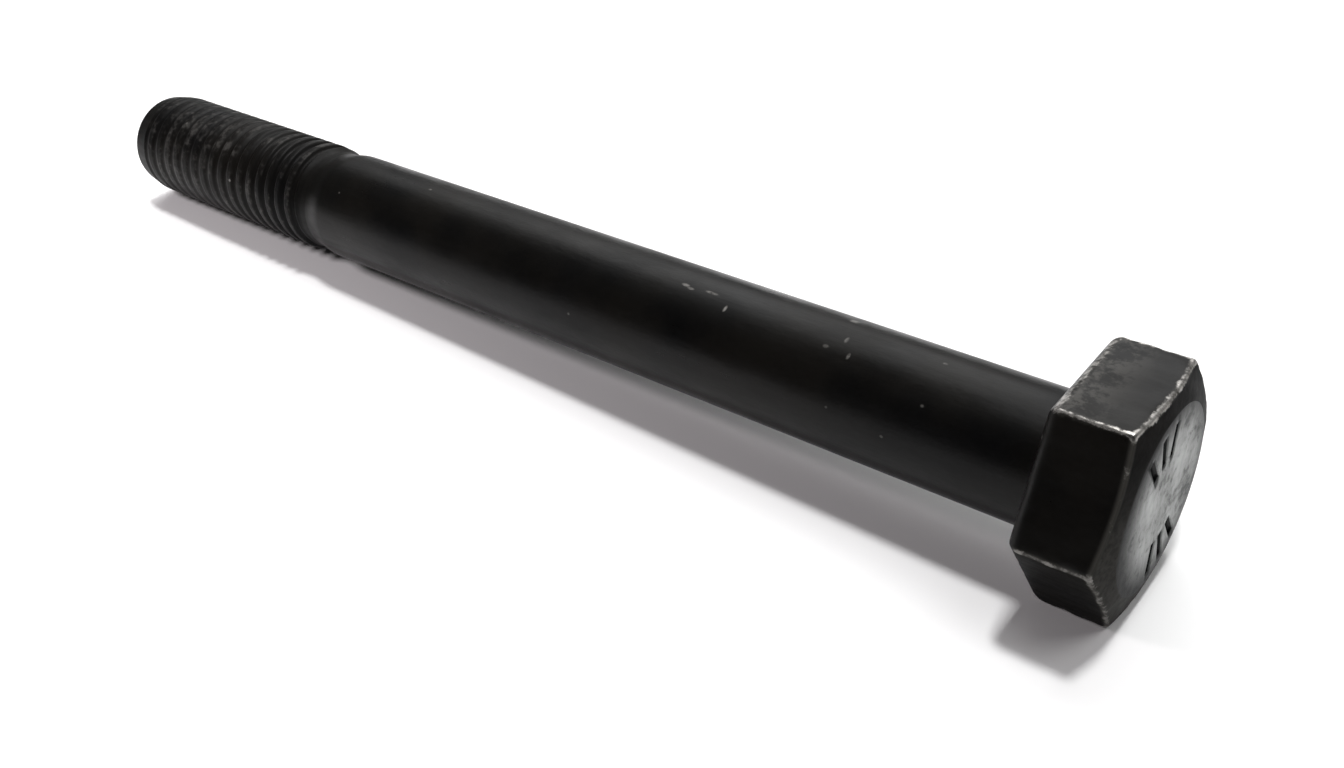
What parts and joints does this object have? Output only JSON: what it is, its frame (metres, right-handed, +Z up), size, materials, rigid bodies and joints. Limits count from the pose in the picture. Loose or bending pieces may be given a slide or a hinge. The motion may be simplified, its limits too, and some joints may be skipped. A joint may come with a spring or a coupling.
{
  "type": "hexagon head bolt",
  "caption": "Long hexagon head bolt in black oxide steel, with a plain shank, a necked transition and a threaded end, lying at rest.",
  "frame": {"origin": "on the ground under the middle of the lying bolt, half way between its two ends", "axes": "+X along the bolt towards its head, +Z up; the bolt's own axis rises by 1.72 degrees towards the head"},
  "size_m": [0.1278, 0.022, 0.0192],
  "materials": {
    "black_oxide_steel": "satin black oxide over steel, worn to bare metal at the edges of the head"
  },
  "bodies": {
    "root": {"bolt": "black_oxide_steel"}
  },
  "joints": []
}
